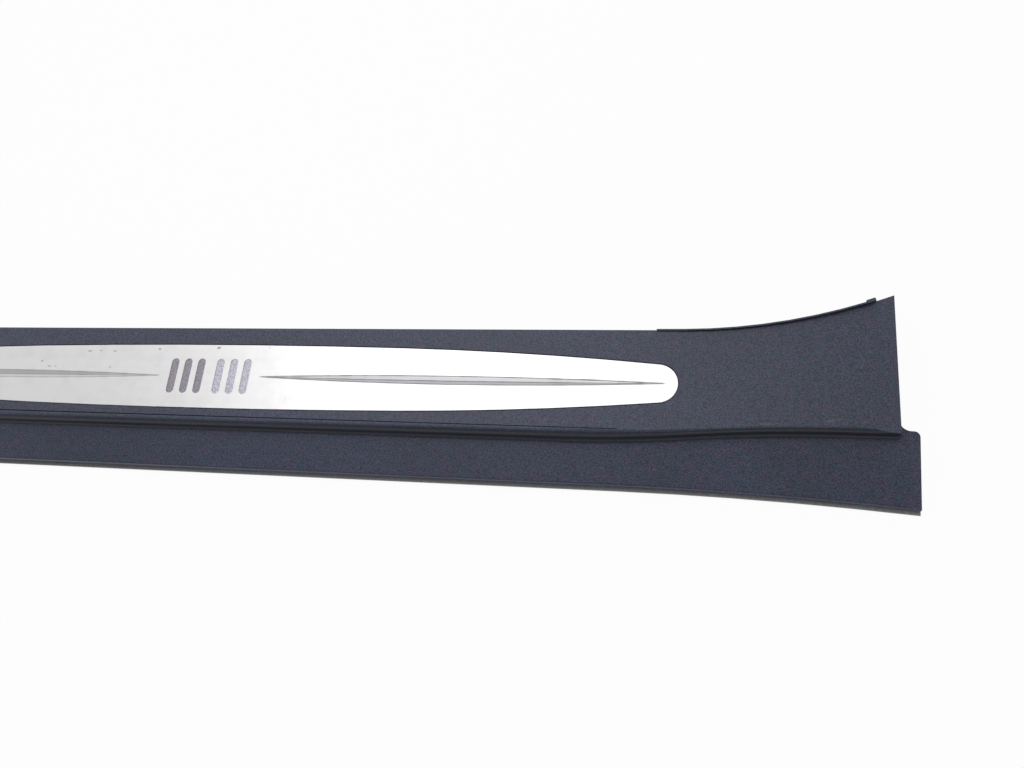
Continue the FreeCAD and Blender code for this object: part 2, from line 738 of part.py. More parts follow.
def make_bars():
    """Two groups of three rounded tread bars beside the middle of the plate."""
    radius = SIZE["bar_width"] / 2
    half = SIZE["bar_length"] / 2 - radius
    bars = []
    for group in (-1, 1):
        for step in (-1, 0, 1):
            x = group * SIZE["bar_group"] + step * SIZE["bar_pitch"]
            body = doc.addObject("PartDesign::Body", "tread_bar_cutter")
            outline = body_sketch(body, "tread_bar_outline", [
                arc((x, half), radius, 0, math.pi),
                line((x - radius, half), (x - radius, -half)),
                arc((x, -half), radius, math.pi, 2 * math.pi),
                line((x + radius, -half), (x + radius, half)),
            ])
            pad(body, outline, "tread_bar", "bar_depth")
            stand(body, z="deck_height - bar_depth")
            bars.append(body)
    return bars


def make_plate():
    """Bright plate with its coined grooves and tread bars."""
    body = doc.addObject("PartDesign::Body", "plate_blank")
    outline = body_sketch(body, "plate_outline", plate_pieces(0.0))
    pad(body, outline, "plate_sheet", "plate_thickness")
    stand(body, z="deck_height - plate_thickness")
    doc.recompute()
    top = SIZE["plate_thickness"]
    sheet_pad = body.Tip
    edges = [
        f"Edge{index}" for index, edge in enumerate(sheet_pad.Shape.Edges, 1)
        if all(abs(point.z - top) < 1e-4 for point in edge_points(edge))
    ]
    bevel = body.newObject("PartDesign::Chamfer", "plate_edge")
    bevel.Base = (sheet_pad, edges)
    bind(bevel, Size="plate_bevel")
    marks = fuse("plate_marks", [make_spear(-1), make_spear(1)] + make_bars())
    return cut("trim_plate", body, marks)


def make_tape(name, start, end, edge):
    """Strip of adhesive tape between the recess and the plate."""
    body = doc.addObject("PartDesign::Body", name)
    low, high, side = number(start), number(end), number(edge)
    corners = [(low, -side), (high, -side), (high, side), (low, side)]
    outline = body_sketch(body, name + "_outline", polygon(corners))
    for x, y in corners:
        hold(outline, (x, y), start if x == low else end, edge if y > 0 else "- " + edge)
    pad(body, outline, name + "_strip", "tape_thickness")
    return stand(body, z="deck_height - plate_thickness - tape_thickness")


def make_tapes():
    """One tape under the middle of the plate and one under each side."""
    far, near = "- plate_half_length + tape_stop", "- tape_middle_end - tape_gap"
    left = make_tape("plate_tape_left", far, near, "tape_side_edge")
    middle = make_tape("plate_tape_middle", "- tape_middle_end", "tape_middle_end", "tape_middle_edge")
    near, far = "tape_middle_end + tape_gap", "plate_half_length - tape_stop"
    return [left, middle, make_tape("plate_tape_right", near, far, "tape_side_edge")]


def raise_sketch(sketch, height):
    """Moves a body's sketch off its plane by a sum of sizes."""
    sketch.AttachmentOffset = Placement(Vector(0, 0, number(height)), Rotation())
    sketch.setExpression(".AttachmentOffset.Base.z", formula(height))


def add_circle(sketch, radius):
    """Circle about the sketch's origin, with its radius tied to a sum of sizes."""
    circle = sketch.addGeometry(Part.Circle(Vector(0, 0, 0), Vector(0, 0, 1), number(radius)), False)
    sketch.addConstraint(Sketcher.Constraint("Coincident", circle, 3, -1, 1))
    row = sketch.addConstraint(Sketcher.Constraint("Radius", circle, number(radius)))
    sketch.setExpression(f"Constraints[{row}]", formula(radius))


def make_clip(name, place):
    """Push-in clip: square head and neck, round collar and two barbed prongs."""
    body = doc.addObject("PartDesign::Body", name)
    right = [
        ("neck_half", "tower_foot + seat_thickness + head_thickness"),
        ("neck_half", "barb_back"),
        ("barb_half", "barb_height"),
        ("prong_tip", "prong_foot"),
        ("prong_gap", "prong_foot"),
        ("prong_gap", "tower_foot - collar_thickness"),
    ]
    ties = right + [("- " + x, z) for x, z in reversed(right)]
    corners = [(number(x), number(z)) for x, z in ties]
    profile = body_sketch(body, name + "_prongs", polygon(corners), "XZ_Plane")
    for corner, (x, z) in zip(corners, ties):
        hold(profile, corner, x, z)
    raise_sketch(profile, "- neck_half")
    pad(body, profile, name + "_shank", "neck_half + neck_half")
    collar = body_sketch(body, name + "_collar_outline", [])
    add_circle(collar, "collar_radius")
    raise_sketch(collar, "tower_foot - collar_thickness")
    pad(body, collar, name + "_collar", "collar_thickness")
    side, cut_side = SIZE["head_half"], number("head_half - head_corner")
    head = body_sketch(body, name + "_head_outline", polygon([
        (side, -cut_side),
        (side, cut_side),
        (cut_side, side),
        (-cut_side, side),
        (-side, cut_side),
        (-side, -cut_side),
        (-cut_side, -side),
        (cut_side, -side),
    ]))
    raise_sketch(head, "tower_foot + seat_thickness")
    pad(body, head, name + "_head", "head_thickness")
    return stand(body, str(place[0]), str(place[1]))


def make_seal(name, place):
    """Foam washer below the collar of a clip, with a square hole for the shank."""
    body = doc.addObject("PartDesign::Body", name)
    high, low = "neck_half + neck_gap", "- neck_half - neck_gap"
    ties = [(high, low), (high, high), (low, high), (low, low)]
    corners = [(number(x), number(y)) for x, y in ties]
    outline = body_sketch(body, name + "_outline", polygon(corners))
    for corner, (x, y) in zip(corners, ties):
        hold(outline, corner, x, y)
    add_circle(outline, "seal_radius")
    pad(body, outline, name + "_ring", "seal_thickness")
    return stand(body, str(place[0]), str(place[1]), "tower_foot - collar_thickness - seal_thickness")


def make_pad(name, x):
    """Foam pad that fills the gap between trim and car body."""
    item = doc.addObject("Part::Box", name)
    bind(item, Length="pad_long", Width="pad_wide", Height="pad_thickness")
    left = x - SIZE["pad_long"] / 2
    return stand(item, str(left), str(-SIZE["pad_wide"] / 2), "rib_foot - pad_thickness")


def label(item, name):
    """Names a finished sub-part, which also names its file."""
    item.Label = name
    return item


def build():
    parts = [label(make_carrier(), "sill_carrier")]
    parts.append(label(make_plate(), "trim_plate"))
    parts += make_tapes()
    for index, place in enumerate(clip_stations(), 1):
        parts.append(make_clip(f"clip_{index}", place))
        parts.append(make_seal(f"clip_seal_{index}", place))
    for index, x in enumerate(pad_places(), 1):
        parts.append(make_pad(f"foam_pad_{index}", x))
    return parts


def check(parts):
    """Stops on any failed object or unsound sub-part before a file is written."""
    for item in doc.Objects:
        if any(word in item.State for word in ("Invalid", "Error")):
            raise ValueError(f"{item.Label} has failed: {item.State}")
    for part in parts:
        shape = part.Shape
        if shape.isNull() or not shape.isValid() or shape.Volume <= 0:
            raise ValueError(f"{part.Label} is not a sound solid")


def write(parts):
    os.makedirs("parts", exist_ok=True)
    for part in parts:
        part.Shape.exportStep(f"parts/{part.Label}.step")


finished = build()
doc.recompute()
check(finished)
write(finished)
for part in finished:
    box = part.Shape.BoundBox
    print(f"{part.Label}: {len(part.Shape.Solids)} solid, {part.Shape.Volume / 1000:.2f} cm3, "
          f"{box.XLength:.1f} x {box.YLength:.1f} x {box.ZLength:.1f} mm")
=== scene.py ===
import math

import bpy
from bpy.props import FloatProperty, FloatVectorProperty, PointerProperty
from mathutils import Matrix, Vector


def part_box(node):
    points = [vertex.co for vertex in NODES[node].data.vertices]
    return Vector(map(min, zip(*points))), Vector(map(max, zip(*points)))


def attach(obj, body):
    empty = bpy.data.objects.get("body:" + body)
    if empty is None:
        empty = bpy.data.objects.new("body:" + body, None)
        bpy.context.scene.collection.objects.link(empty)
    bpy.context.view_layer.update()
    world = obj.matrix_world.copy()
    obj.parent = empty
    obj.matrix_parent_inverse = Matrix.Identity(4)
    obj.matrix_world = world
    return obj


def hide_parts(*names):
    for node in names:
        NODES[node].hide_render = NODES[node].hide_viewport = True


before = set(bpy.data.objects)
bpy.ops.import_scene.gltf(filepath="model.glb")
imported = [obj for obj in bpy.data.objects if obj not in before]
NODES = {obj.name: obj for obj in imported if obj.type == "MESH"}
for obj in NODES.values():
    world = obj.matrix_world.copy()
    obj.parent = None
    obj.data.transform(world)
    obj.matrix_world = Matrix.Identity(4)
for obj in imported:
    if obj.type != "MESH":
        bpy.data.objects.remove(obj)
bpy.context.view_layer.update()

bl_info = {
    "name": "Door sill trim",
    "version": (1, 0, 0),
    "blender": (4, 5, 0),
    "location": "View3D > Sidebar > Sill trim",
    "description": "Finishes a moulded car door sill trim and sets it on a pale studio floor",
    "category": "Object",
}

BODY = "root"
PLATE_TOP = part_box("trim_plate")[1].z
CLIPS = sorted(name for name in NODES if name.startswith("clip_") and "seal" not in name)
SEALS = sorted(name for name in NODES if name.startswith("clip_seal_"))
TAPES = sorted(name for name in NODES if name.startswith("plate_tape_"))
PADS = sorted(name for name in NODES if name.startswith("foam_pad_"))

# Places on the part, in metres; a pair gives where a mask starts and where it is full

WASHER_HOLE = 0.0074                          # side of the washers' square hole
SPEAR_MIDDLE, SPEAR_HALF = 0.21285, 0.16725   # centre and half length of a coined groove
SPEAR_BOWS = (0.0031, -0.0008, -0.0038)       # bow of its inner edge, crease and outer edge
BAR_REACH = (0.0440, 0.0436)                  # distance from the middle that the tread bars keep within
FACE_DEPTH = (0.0016, 0.0012)                 # depth below the plate's top that is still its face
GROOVE_DEPTH = (0.00002, 0.00006)             # depth at which a coined groove begins
ETCH_DEPTH = (0.00010, 0.00026)               # depth of a bar's etched floor
WALL_TOP = (0.00001, 0.00003)                 # depth at which a bar's wall begins
WALL_FOOT = (0.00028, 0.00022)                # depth at which it ends
RIM_HEIGHT = (0.0042, 0.0018)                 # height below which the outer foot gets painted light
RIM_SIDE = (-0.0600, -0.0640)                 # line outside which the outer foot gets painted light
RISER_HEIGHT = (0.0090, 0.0120)               # height above which a steep face gets the riser's painted shade
PATCH_THICKNESS = 0.004                       # half thickness of a worn patch
LEVEL_SLACK = 0.0009                          # slack when a level of a foam pad is picked

# Levels of a foam pad, as shares of its half height, and the share of the waist that each takes
PAD_WAIST = ((-2 / 3, 0.5), (-1 / 3, 0.9), (0.0, 1.0), (1 / 3, 0.8), (2 / 3, 0.4))

# Face normals: what faces up or sideways, for the painted light along the outer foot, and what leans
# outwards as far as the riser, for its painted shade
NOT_BELOW = (-0.25, 0.05)
RISER_LEAN = (-0.22, -0.62)

# Noise layers of the grain, each with its scale as a share of the grain's own
GRAIN_LAYERS = (("Fine", 1.0), ("Speckle", 1.2), ("Patches", 0.17), ("Mottle", 0.011))

# Darkest and lightest factor on a colour
SPECKLE_SHADE = ((0.28, 0.28, 0.28), (1.72, 1.72, 1.72))
MOTTLE_SHADE = ((0.95, 0.95, 0.93), (1.05, 1.05, 1.07))
STREAK_SHADE = ((0.985, 0.985, 0.985), (1.01, 1.01, 1.01))
SMUDGE_SHADE = ((0.955, 0.955, 0.945), (1.0, 1.0, 1.0))

# Grime and painted shade along a groove's inner edge, crease and outer edge: half width, least and greatest
# strength
GROOVE_GRIME_AND_SHADE = ((0.00060, 0.75, 0.95), (0.00056, 0.66, 0.85), (0.00062, 0.80, 0.95))

# Strength of the marks and of the painted shade
RISER_SHADE_STRENGTH = 0.75
LEFT_GROOVE_SHARE = 0.52          # grime and painted shade in the left groove as a share of the right one's
UPPER_FLANK_SHADE = 0.12   # painted shade on a groove's inner side as a share of that on its outer side
SPECK_STRENGTH = 0.85
SCRATCH_STRENGTH = 0.55
PATCH_FADE = (1.15, 0.45)

# Small colours that nobody would change
WALL_COLOUR = (0.10, 0.095, 0.11)
SCRATCH_COLOUR = (0.40, 0.40, 0.42)

# Studio: lamp, surroundings and camera
LAMP_PLACE, LAMP_AIM = (-0.02, 0.34, 1.0), (-0.02, 0.0, 0.0)
LAMP_SIZE, LAMP_POWER = (1.0, 0.85), 3.4
FLOOR_GLOW = 0.95
CAMERA_PLACE = (0.41587, -0.21626, 0.60709)   # from the middle of the plate's face
CAMERA_RIGHT = (0.97267, 0.09335, -0.21262)
CAMERA_BACK = (0.23159, -0.32307, 0.91760)
CAMERA_SENSOR, CAMERA_LENS = 36.0, 30.23

# Brightness of the surroundings: axis, start and end on it, and the level at each
WORLD_LEVELS = (
    ("Y", -0.45, 0.40, 0.09, 0.64),   # dull on the outer side, brighter on the inner side
    ("X", -0.10, -0.75, 0.0, 0.40),   # beyond the cut end
    ("X", 0.20, 0.80, 0.0, 0.72),     # beyond the flared end
    ("Z", 0.42, 0.27, 0.0, 1.0),      # share of the white horizon
    ("Y", -0.20, 0.20, 0.0, 1.0),     # keeps the light beyond the cut end to the inner side
)


# Sizes and colours that a user would change

class SillSizes(bpy.types.PropertyGroup):
    """Sizes of the finish and of the stage."""

    grain: FloatProperty(
        name="Grain", description="Spacing of the moulding's fine grain",
        default=0.0011, min=0.0003, unit="LENGTH")
    grain_depth: FloatProperty(
        name="Grain depth", description="Height of the moulding's fine grain",
        default=0.00006, min=0.0, unit="LENGTH")
    brush_pitch: FloatProperty(
        name="Brush lines", description="Spacing of the fine lines along the bright plate",
        default=0.0007, min=0.0002, unit="LENGTH")
    foam_cell: FloatProperty(
        name="Foam cells", description="Size of the open cells of the foam pads",
        default=0.0012, min=0.0003, unit="LENGTH")
    pad_round: FloatProperty(
        name="Pad rounding", description="Rounding of the foam pads' cut edges",
        default=0.0014, min=0.0003, unit="LENGTH")
    pad_waist: FloatProperty(
        name="Pad waist", description="How far the sides of the foam pads pull in",
        default=0.0009, min=0.0, unit="LENGTH")
    washer_round: FloatProperty(
        name="Washer rounding", description="Rounding of the foam washers' outer edges",
        default=0.0007, min=0.0001, unit="LENGTH")
    floor: FloatProperty(
        name="Floor", description="Width of the studio floor",
        default=12.0, min=2.0, unit="LENGTH")


class SillColours(bpy.types.PropertyGroup):
    """Colours of the finishes."""

    moulding: FloatVectorProperty(
        name="Moulding", description="Charcoal colour of the grained plastic",
        default=(0.0290, 0.0455, 0.0740), size=3, min=0.0, max=1.0, subtype="COLOR")
    moulding_warm: FloatVectorProperty(
        name="Moulding, warm patches", description="Purple tinge that comes and goes in the plastic",
        default=(0.0460, 0.0415, 0.0815), size=3, min=0.0, max=1.0, subtype="COLOR")
    # Painted shade: the riser colour darkens the steep outward face between deck and outer band.
    riser: FloatVectorProperty(
        name="Riser", description="Darker, smoother plastic of the riser between deck and outer band",
        default=(0.0080, 0.0085, 0.0120), size=3, min=0.0, max=1.0, subtype="COLOR")
    scuff: FloatVectorProperty(
        name="Scuffs", description="Colour of the light rub marks on the plastic",
        default=(0.125, 0.120, 0.112), size=3, min=0.0, max=1.0, subtype="COLOR")
    # Painted light: this pale colour along the foot of the outer skirt stands in for light falling there.
    rim_painted_light: FloatVectorProperty(
        name="Rubbed rim", description="Colour of the rubbed bead at the foot of the outer skirt",
        default=(0.235, 0.235, 0.245), size=3, min=0.0, max=1.0, subtype="COLOR")
    plate: FloatVectorProperty(
        name="Bright plate", description="Colour of the brushed aluminium",
        default=(0.745, 0.735, 0.745), size=3, min=0.0, max=1.0, subtype="COLOR")
    # Grime and painted shade along the grooves' edges and crease take this colour.
    groove: FloatVectorProperty(
        name="Groove lines", description="Dull film along the edges and the crease of the coined grooves",
        default=(0.13, 0.125, 0.13), size=3, min=0.0, max=1.0, subtype="COLOR")
    # Painted shade: this grey darkens the outer side of the coined grooves.
    flank_shade: FloatVectorProperty(
        name="Groove flank", description="Grey film on the outer side of the coined grooves",
        default=(0.44, 0.43, 0.465), size=3, min=0.0, max=1.0, subtype="COLOR")
    etched_dark: FloatVectorProperty(
        name="Etched bars, dark", description="Darker etched floor of the tread bars",
        default=(0.40, 0.375, 0.42), size=3, min=0.0, max=1.0, subtype="COLOR")
    etched_light: FloatVectorProperty(
        name="Etched bars, light", description="Lighter etched floor of the tread bars",
        default=(0.64, 0.63, 0.70), size=3, min=0.0, max=1.0, subtype="COLOR")
    grime: FloatVectorProperty(
        name="Grime", description="Dirt in the grooves and in the specks on the plate",
        default=(0.075, 0.072, 0.062), size=3, min=0.0, max=1.0, subtype="COLOR")
    nylon: FloatVectorProperty(
        name="Clips", description="Colour of the natural nylon clips",
        default=(0.62, 0.60, 0.52), size=3, min=0.0, max=1.0, subtype="COLOR")
    tape: FloatVectorProperty(
        name="Tape", description="Colour of the adhesive foam tape",
        default=(0.20, 0.20, 0.20), size=3, min=0.0, max=1.0, subtype="COLOR")
    foam: FloatVectorProperty(
        name="Foam", description="Colour of the foam pads and washers",
        default=(0.035, 0.035, 0.038), size=3, min=0.0, max=1.0, subtype="COLOR")
    floor: FloatVectorProperty(
        name="Floor", description="Colour of the studio floor",
        default=(0.86, 0.86, 0.87), size=3, min=0.0, max=1.0, subtype="COLOR")


# Shader helpers

def shader(tree, kind, place=(0, 0), **settings):
    """Adds one shader node and sets its properties."""
    item = tree.nodes.new(kind)
    item.location = place
    for name, value in settings.items():
        setattr(item, name, value)
    return item


def socket_group(name, inputs, outputs):
    """Empty node group with named number, colour and vector sockets."""
    group = bpy.data.node_groups.new(name, "ShaderNodeTree")
    for label, kind, default in inputs:
        socket = group.interface.new_socket(name=label, in_out="INPUT", socket_type="NodeSocket" + kind)
        if default is not None:
            socket.default_value = default
    for label, kind in outputs:
        group.interface.new_socket(name=label, in_out="OUTPUT", socket_type="NodeSocket" + kind)
    return group, shader(group, "NodeGroupInput", (-900, 0)), shader(group, "NodeGroupOutput", (700, 0))


def use_group(tree, group, place, **values):
    """Places a shared group in a material, with its own values."""
    item = shader(tree, "ShaderNodeGroup", place)
    item.node_tree = group
    for label, value in values.items():
        item.inputs[label.replace("_", " ")].default_value = value
    return item


def new_material(name):
    """Material with one Principled shader joined to its output."""
    material = bpy.data.materials.new(name)
    material.use_nodes = True
    tree = material.node_tree
    return material, tree, tree.nodes["Principled BSDF"]


def feed(tree, value, socket):
    """Joins another node's socket to this one, or sets its number."""
    if isinstance(value, bpy.types.NodeSocket):
        tree.links.new(value, socket)
    else:
        socket.default_value = value


def calculate(tree, operation, first, second=None, place=(0, 0)):
    """One Math node on sockets or numbers."""
    item = shader(tree, "ShaderNodeMath", place, operation=operation)
    feed(tree, first, item.inputs[0])
    if second is not None:
        feed(tree, second, item.inputs[1])
    return item.outputs[0]


def product(tree, place, first, *others):
    """Product of several masks or numbers."""
    total = first
    for step, value in enumerate(others):
        total = calculate(tree, "MULTIPLY", total, value, (place[0] + 150 * step, place[1]))
    return total


def scaled(colour, factor):
    """Lighter or darker tone of a colour."""
    return tuple(value * factor for value in colour)


def fine_grain_group():
    """Fine moulded grain: its height, its speckle, patches of a few grains and a slow mottle."""
    group, start, end = socket_group(
        "fine_grain",
        [("Spacing", "Float", 0.001), ("Detail", "Float", 2.0)],
        [("Height", "Float"), ("Speckle", "Float"), ("Patches", "Float"), ("Mottle", "Float")])
    links = group.links
    where = shader(group, "ShaderNodeTexCoord", (-900, 300))
    turns = calculate(group, "DIVIDE", 1.0, start.outputs["Spacing"], (-700, 100))
    cells = shader(group, "ShaderNodeTexVoronoi", (-450, 450), feature="SMOOTH_F1")
    links.new(where.outputs["Object"], cells.inputs["Vector"])
    links.new(turns, cells.inputs["Scale"])
    layers = {}
    for row, (label, share) in enumerate(GRAIN_LAYERS):
        height = 150 - 300 * row
        noise = shader(group, "ShaderNodeTexNoise", (-450, height))
        links.new(where.outputs["Object"], noise.inputs["Vector"])
        links.new(calculate(group, "MULTIPLY", turns, share, (-650, height)), noise.inputs["Scale"])
        links.new(start.outputs["Detail"], noise.inputs["Detail"])
        layers[label] = noise.outputs["Fac"]
    blend = shader(group, "ShaderNodeMix", (-150, 150), data_type="FLOAT")
    blend.inputs["Factor"].default_value = 0.5
    links.new(cells.outputs["Distance"], blend.inputs["A"])
    links.new(layers["Fine"], blend.inputs["B"])
    links.new(blend.outputs["Result"], end.inputs["Height"])
    for label in ("Speckle", "Patches", "Mottle"):
        links.new(layers[label], end.inputs[label])
    return group


def brushed_group():
    """Fine lines along X: a height, a streak mask, a slow cloud and small smudges."""
    group, start, end = socket_group(
        "brushed_lines",
        [("Spacing", "Float", 0.0007)],
        [("Height", "Float"), ("Streak", "Float"), ("Cloud", "Float"), ("Smudge", "Float")])
    links = group.links
    where = shader(group, "ShaderNodeTexCoord", (-900, 300))
    turns = calculate(group, "DIVIDE", 1.0, start.outputs["Spacing"], (-700, 100))
    stretch = shader(group, "ShaderNodeMapping", (-700, 350))
    stretch.inputs["Scale"].default_value = (0.012, 1.0, 1.0)
    links.new(where.outputs["Object"], stretch.inputs["Vector"])
    stretched, even = stretch.outputs["Vector"], where.outputs["Object"]
    for row, (label, source, scale, detail) in enumerate((
            ("Height", stretched, turns, 3.0), ("Streak", stretched, 160.0, 2.0),
            ("Cloud", even, 7.0, 2.0), ("Smudge", even, 95.0, 4.0))):
        noise = shader(group, "ShaderNodeTexNoise", (-450, 350 - 300 * row))
        links.new(source, noise.inputs["Vector"])
        feed(group, scale, noise.inputs["Scale"])
        noise.inputs["Detail"].default_value = detail
        links.new(noise.outputs["Fac"], end.inputs[label])
    return group


def shared_group(name, make):
    """Builds a shared group once and gives it back on every later call."""
    return bpy.data.node_groups.get(name) or make()


def ramp(tree, source, low, high, place=(0, 0)):
    """Smooth step of a value between two limits."""
    item = shader(tree, "ShaderNodeMapRange", place, interpolation_type="SMOOTHSTEP", clamp=True)
    item.inputs["From Min"].default_value = low
    item.inputs["From Max"].default_value = high
    tree.links.new(source, item.inputs["Value"])
    return item.outputs["Result"]


def mix_colour(tree, mask, first, second, place=(0, 0)):
    """Mixes two colours by a mask."""
    item = shader(tree, "ShaderNodeMix", place, data_type="RGBA")
    tree.links.new(mask, item.inputs["Factor"])
    for label, value in (("A", first), ("B", second)):
        socket = next(s for s in item.inputs if s.name == label and s.type == "RGBA")
        if isinstance(value, bpy.types.NodeSocket):
            tree.links.new(value, socket)
        else:
            socket.default_value = (*value[:3], 1.0)
    return next(s for s in item.outputs if s.type == "RGBA")


def times(tree, first, second, place=(0, 0)):
    """Product of two colours."""
    item = shader(tree, "ShaderNodeVectorMath", place, operation="MULTIPLY")
    tree.links.new(first, item.inputs[0])
    tree.links.new(second, item.inputs[1])
    return item.outputs[0]


def bump(tree, height, strength, depth, normal_to, place=(0, -300)):
    """Bump of a given depth in metres on a shader's Normal."""
    item = shader(tree, "ShaderNodeBump", place)
    item.inputs["Strength"].default_value = strength
    item.inputs["Distance"].default_value = depth
    tree.links.new(height, item.inputs["Height"])
    tree.links.new(item.outputs["Normal"], normal_to)


def mark_group():
    """One worn or dirty patch: a soft oval about a place, broken up by noise."""
    group, start, end = socket_group(
        "worn_patch",
        [("Centre", "Vector", None), ("Turn", "Vector", None), ("Size", "Vector", None),
         ("Break up", "Float", 0.5), ("Strength", "Float", 1.0)],
        [("Mask", "Float")])
    links = group.links
    where = shader(group, "ShaderNodeTexCoord", (-900, 300))
    local = shader(group, "ShaderNodeMapping", (-650, 300), vector_type="TEXTURE")
    links.new(where.outputs["Object"], local.inputs["Vector"])
    for label, target in (("Centre", "Location"), ("Turn", "Rotation"), ("Size", "Scale")):
        links.new(start.outputs[label], local.inputs[target])
    away = shader(group, "ShaderNodeVectorMath", (-400, 300), operation="LENGTH")
    links.new(local.outputs["Vector"], away.inputs[0])
    noise = shader(group, "ShaderNodeTexNoise", (-650, -100))
    noise.inputs["Scale"].default_value = 900.0
    noise.inputs["Detail"].default_value = 3.0
    links.new(where.outputs["Object"], noise.inputs["Vector"])
    rough = calculate(group, "MULTIPLY", noise.outputs["Fac"], start.outputs["Break up"], (-400, -100))
    reach = calculate(group, "ADD", away.outputs["Value"], rough, (-200, 100))
    fade = ramp(group, reach, *PATCH_FADE, (0, 100))
    share = calculate(group, "MULTIPLY", fade, start.outputs["Strength"], (250, 100))
    links.new(share, end.inputs["Mask"])
    return group


def patches(tree, places, place=(-900, -600)):
    """Strongest of several worn patches: each is centre, half length, half width, turn and strength."""
    total = None
    left, top = place
    for row, (x, y, z, long, wide, turn, strength) in enumerate(places):
        height = top - 220 * row
        patch = use_group(
            tree, shared_group("worn_patch", mark_group), (left, height),
            Centre=(x, y, z), Turn=(0.0, 0.0, math.radians(turn)),
            Size=(long, wide, PATCH_THICKNESS), Strength=strength)
        mask = patch.outputs["Mask"]
        total = mask if total is None else calculate(tree, "MAXIMUM", total, mask, (left + 250, height))
    return total


# Light scuffs on the deck beside the riser: centre, half length, half width, turn, strength
SCUFFS = (
    (0.4500, -0.0293, 0.0258, 0.0085, 0.0010, 1.0, 0.50),
    (0.4570, -0.0288, 0.0258, 0.0040, 0.0007, 8.0, 0.45),
    (0.4940, -0.0256, 0.0258, 0.0062, 0.0010, 13.0, 0.60),
    (0.5005, -0.0243, 0.0256, 0.0026, 0.0007, 30.0, 0.35),
    (0.4310, -0.0300, 0.0258, 0.0070, 0.0006, 0.0, 0.25),
    (0.5150, -0.0262, 0.0256, 0.0050, 0.0006, 4.0, 0.25),
)

# Specks of dirt on the plate, mostly along its inner edge
SPECKS = (
    (-0.1691, 0.0115, 0.026, 0.0022, 0.0010, 20.0, 0.8),
    (-0.1600, 0.0068, 0.026, 0.0030, 0.0009, -10.0, 0.6),
    (-0.1535, 0.0069, 0.026, 0.0016, 0.0008, 0.0, 0.6),
    (-0.1223, 0.0215, 0.026, 0.0035, 0.0010, 5.0, 0.7),
    (-0.1110, 0.0220, 0.026, 0.0020, 0.0009, -15.0, 0.55),
    (-0.0969, 0.0217, 0.026, 0.0028, 0.0010, 0.0, 0.6),
    (-0.0977, 0.0067, 0.026, 0.0018, 0.0010, 30.0, 0.55),
    (-0.0526, 0.0239, 0.026, 0.0021, 0.0013, -20.0, 0.7),
    (0.0041, 0.0253, 0.026, 0.0026, 0.0014, 15.0, 0.85),
    (0.0518, 0.0257, 0.026, 0.0015, 0.0008, 0.0, 0.4),
    (0.3200, 0.0020, 0.026, 0.0160, 0.0006, 0.2, 0.7),
    (0.2960, 0.0019, 0.026, 0.0090, 0.0005, 0.2, 0.4),
)

# Faint scratches across the plate
SCRATCHES = (
    (0.0743, -0.0188, 0.026, 0.0042, 0.0004, 84.0, 0.7),
    (0.1258, -0.0172, 0.026, 0.0052, 0.0004, 86.0, 0.8),
    (-0.0350, -0.0210, 0.026, 0.0060, 0.0003, 35.0, 0.35),
    (0.2210, 0.0150, 0.026, 0.0080, 0.0003, -25.0, 0.35),
)


